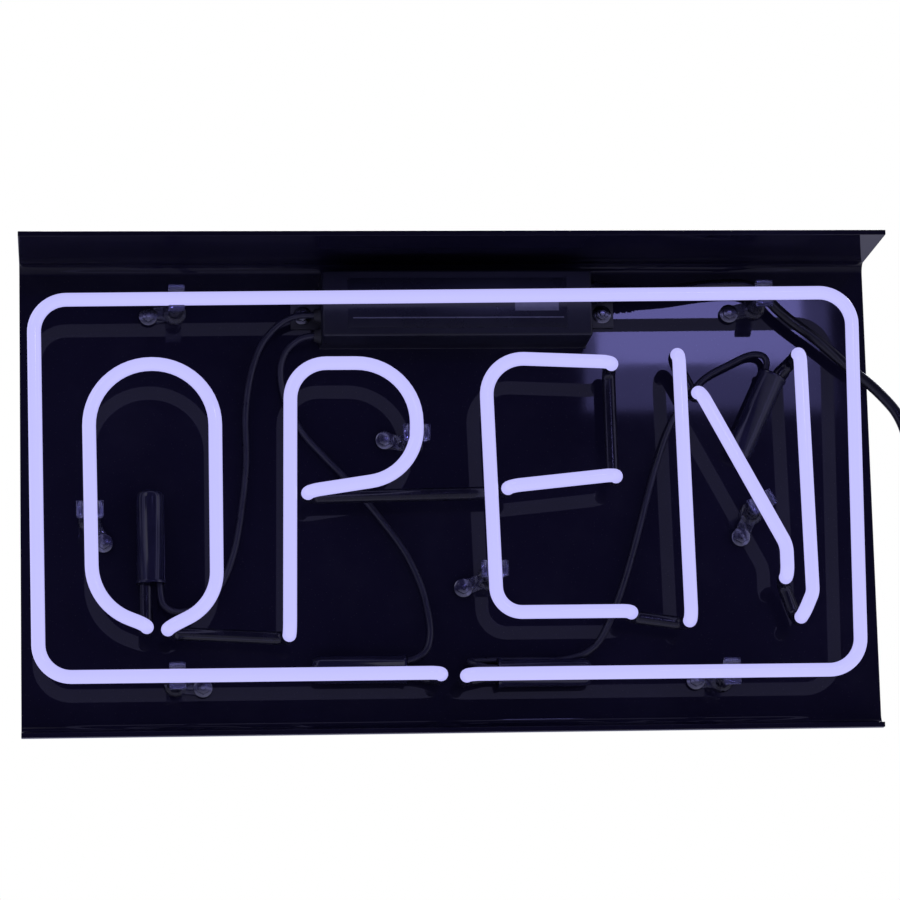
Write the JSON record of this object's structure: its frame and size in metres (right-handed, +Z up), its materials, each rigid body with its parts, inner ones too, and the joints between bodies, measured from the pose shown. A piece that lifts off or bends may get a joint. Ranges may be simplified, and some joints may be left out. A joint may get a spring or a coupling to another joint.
{
  "type": "neon window sign",
  "caption": "Lit glass neon sign that spells OPEN inside a glass border, on a folded gloss-black acrylic board, with its power supply, leads and mains cord.",
  "frame": {"origin": "centre of the board's flat back face", "axes": "+X to the viewer's right along the board, +Y out of the back face, +Z up"},
  "size_m": [0.6198, 0.079, 0.286],
  "materials": {
    "board_acrylic": "high gloss",
    "lit_glass": "lit from inside, pale violet",
    "black_glass": "glass painted black",
    "boot_silicone": "translucent satin",
    "lead_silicone": "satin",
    "support_plastic": "clear",
    "electrode_metal": "satin",
    "fastener_steel": "zinc plated",
    "supply_base_metal": "satin",
    "supply_plastic": "satin moulded",
    "circuit_laminate": "satin",
    "ferrite": "matt",
    "copper_wire": "enamelled",
    "capacitor_sleeve": "gloss",
    "heat_sink_aluminium": "as extruded",
    "bushing_rubber": "matt",
    "blank_label": "satin film",
    "cord_pvc": "satin",
    "plug_pvc": "satin moulded",
    "pin_brass": "satin"
  },
  "bodies": {
    "root": {"backboard": "board_acrylic", "border_top": "lit_glass", "border_left": "lit_glass", "border_right": "lit_glass", "border_bottom_left": "lit_glass", "border_bottom_right": "lit_glass", "letter_o": "lit_glass", "letter_p": "lit_glass", "letter_e": "lit_glass", "letter_e_bar": "lit_glass", "letter_n_left": "lit_glass", "letter_n_diagonal": "lit_glass", "letter_n_right": "lit_glass", "crossover_o_p": "black_glass", "crossover_p_e": "black_glass", "crossover_e_e": "black_glass", "crossover_e_n": "black_glass", "crossover_n_top": "black_glass", "crossover_n_bottom": "black_glass", "end_o": "black_glass", "end_n": "black_glass", "end_border_left": "black_glass", "end_border_right": "black_glass", "electrodes": "electrode_metal", "boot_o": "boot_silicone", "boot_n": "boot_silicone", "boot_border_left": "boot_silicone", "boot_border_right": "boot_silicone", "lead_o": "lead_silicone", "lead_n": "lead_silicone", "lead_border": "lead_silicone", "support_top_left": "support_plastic", "support_top_right": "support_plastic", "support_bottom_left": "support_plastic", "support_bottom_right": "support_plastic", "support_o": "support_plastic", "support_p": "support_plastic", "support_e": "support_plastic", "support_n": "support_plastic", "mounting_screws": "fastener_steel", "mounting_nuts": "fastener_steel", "supply_base": "supply_base_metal", "supply_case": "supply_plastic", "circuit_board": "circuit_laminate", "ferrite_core": "ferrite", "winding": "copper_wire", "capacitors": "capacitor_sleeve", "heat_sink": "heat_sink_aluminium", "lead_bushings": "bushing_rubber", "label_plate": "blank_label", "cord_gland": "supply_plastic", "power_cord": "cord_pvc", "cord_coil": "cord_pvc", "cord_tail": "cord_pvc", "cord_tie": "lead_silicone", "plug": "plug_pvc", "plug_pins": "pin_brass"}
  },
  "joints": []
}
